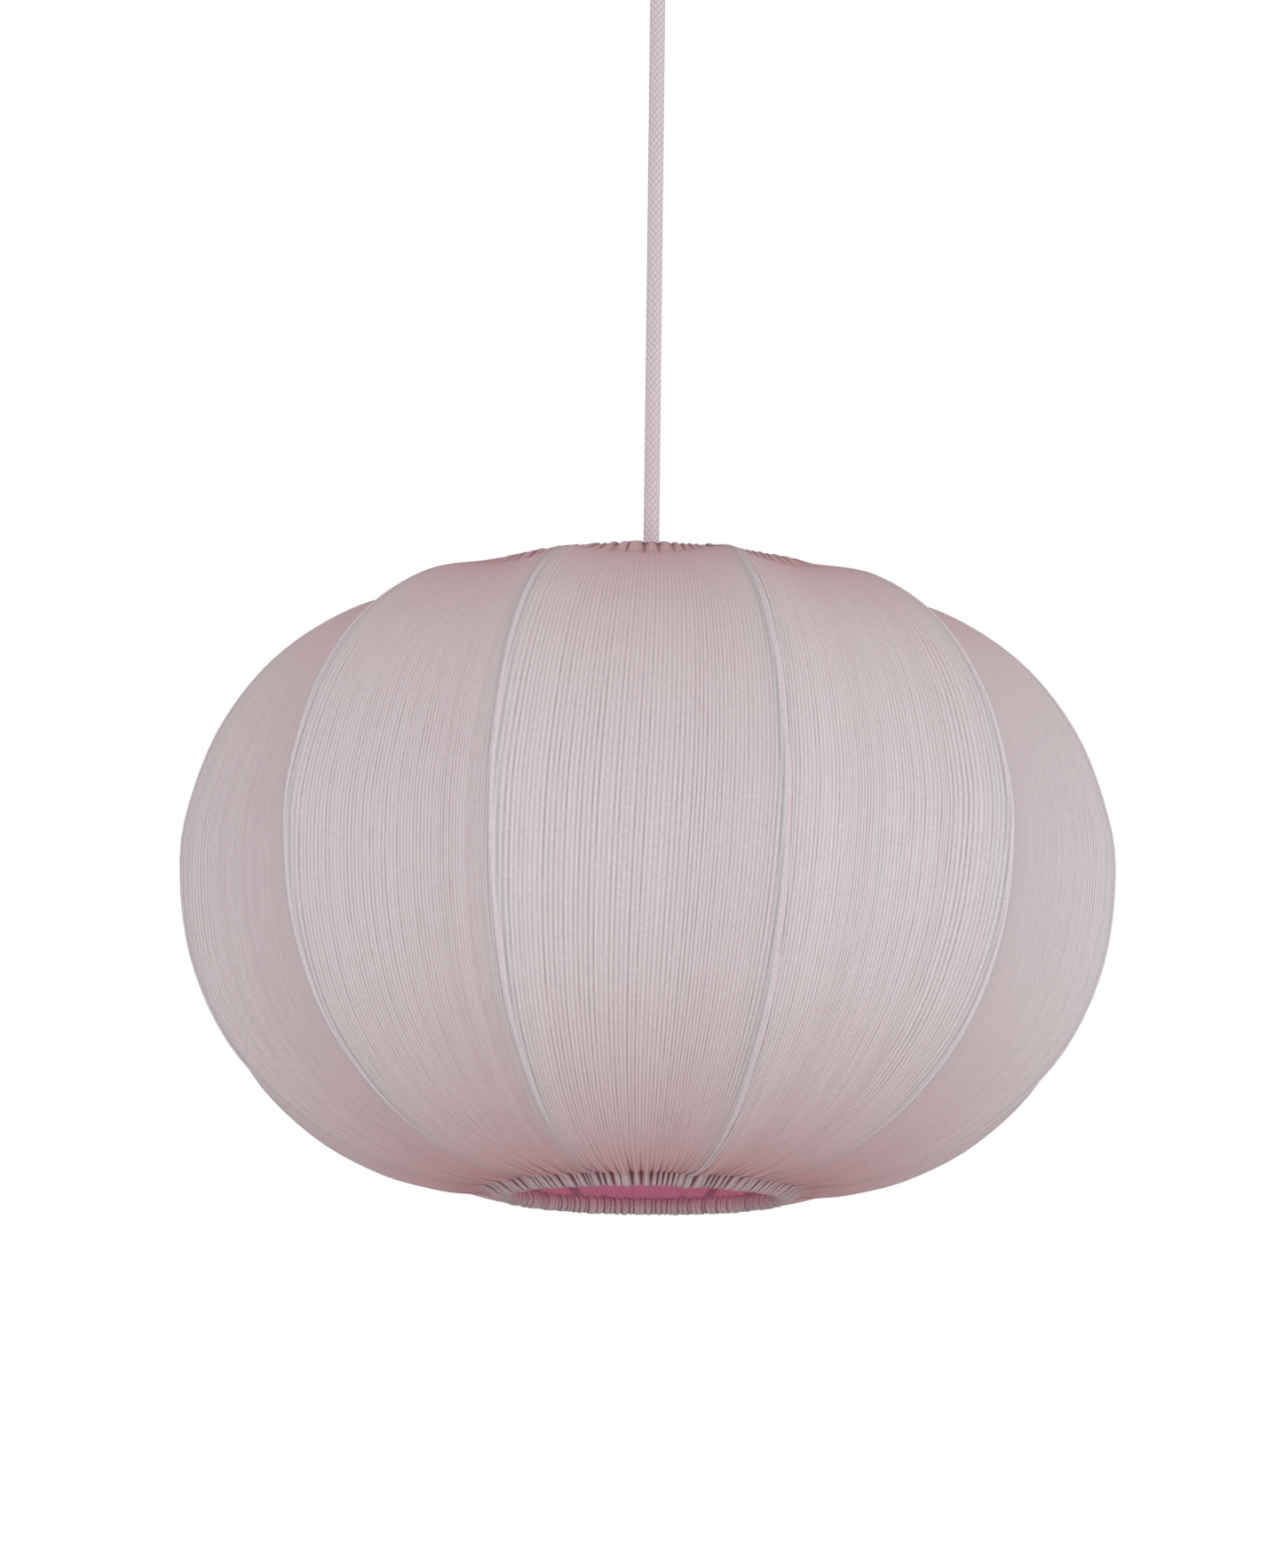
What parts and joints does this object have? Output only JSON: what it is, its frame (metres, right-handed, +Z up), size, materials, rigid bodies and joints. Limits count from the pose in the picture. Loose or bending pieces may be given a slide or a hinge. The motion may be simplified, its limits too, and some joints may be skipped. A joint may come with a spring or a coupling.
{
  "type": "pendant lamp",
  "caption": "Round pendant lamp with a gathered fabric shade on a wire frame of curved ribs, hung by a textile cable from a ceiling hook and cup.",
  "frame": {"origin": "centre of the ceiling plate's flat top face, where the lamp meets the ceiling", "axes": "+Z up out of the ceiling face, the cable hangs along -Z, -Y is the front, +X the right seen from the front"},
  "size_m": [0.3866, 0.3866, 0.6417],
  "materials": {
    "cover_fabric": "dusty pink corded cotton, matt, slightly translucent",
    "textile_cable": "pale lilac braided textile over a round cable",
    "frame_wire": "zinc-plated steel wire, dull",
    "cup_plastic": "pale pink moulded plastic, satin",
    "holder_plastic": "white moulded plastic",
    "zinc_steel": "zinc-plated steel",
    "contact_brass": "plain brass",
    "insert_ceramic": "glazed white porcelain",
    "bulb_opal": "opal white diffuser",
    "bulb_housing": "white moulded plastic",
    "bulb_cap_metal": "nickel-plated",
    "bulb_insulator": "black glass"
  },
  "bodies": {
    "ceiling_fitting": {"ceiling_plate": "zinc_steel", "ceiling_hook": "zinc_steel", "terminal_block": "holder_plastic", "terminal_screw_1": "contact_brass", "terminal_screw_2": "contact_brass"},
    "hanger": {"cord_hanger": "holder_plastic"},
    "pendant": {"cord": "textile_cable", "holder_cord_grip": "holder_plastic", "holder_cap": "holder_plastic", "holder_body": "holder_plastic", "holder_insert": "insert_ceramic", "threaded_shell": "contact_brass", "centre_contact": "contact_brass", "hub_plate": "frame_wire", "spider_arm_1": "frame_wire", "spider_arm_2": "frame_wire", "spider_arm_3": "frame_wire", "top_ring": "frame_wire", "bottom_ring": "frame_wire", "rib_01": "frame_wire", "rib_02": "frame_wire", "rib_03": "frame_wire", "rib_04": "frame_wire", "rib_05": "frame_wire", "rib_06": "frame_wire", "rib_07": "frame_wire", "rib_08": "frame_wire", "rib_09": "frame_wire", "rib_10": "frame_wire", "rib_11": "frame_wire", "rib_12": "frame_wire", "fabric_cover": "cover_fabric"},
    "cup": {"ceiling_cup": "cup_plastic", "cup_cord_grip": "cup_plastic", "cup_grip_nut": "cup_plastic"},
    "grip_screw": {"cup_grip_screw": "zinc_steel"},
    "bulb": {"bulb_tip_contact": "bulb_cap_metal", "bulb_tip_insulator": "bulb_insulator", "bulb_screw_cap": "bulb_cap_metal", "bulb_housing": "bulb_housing", "bulb_globe": "bulb_opal"},
    "shade_nut": {"shade_ring": "holder_plastic"}
  },
  "joints": [
    {"name": "hanger_swing", "type": "hinge", "parent": "ceiling_fitting", "child": "hanger", "pos_m": [0, 0, -0.0235], "axis": [1, 0, 0], "range_deg": [-5, 5]},
    {"name": "cable_swing", "type": "hinge", "parent": "hanger", "child": "pendant", "pos_m": [0, 0, -0.048], "axis": [0, 1, 0], "range_deg": [-5, 5]},
    {"name": "cup_slide", "type": "slide", "parent": "pendant", "child": "cup", "axis": [0, 0, -1], "range_m": [0, 0.28]},
    {"name": "grip_screw_turn", "type": "hinge", "parent": "cup", "child": "grip_screw", "pos_m": [0.0069, 0, -0.0733], "axis": [1, 0, 0], "range_deg": [0, 720]},
    {"name": "bulb_removal", "type": "slide", "parent": "pendant", "child": "bulb", "axis": [0, 0, -1], "range_m": [0, 0.24]},
    {"name": "shade_ring_travel", "type": "slide", "parent": "pendant", "child": "shade_nut", "axis": [0, 0, -1], "range_m": [0, 0.008]}
  ]
}
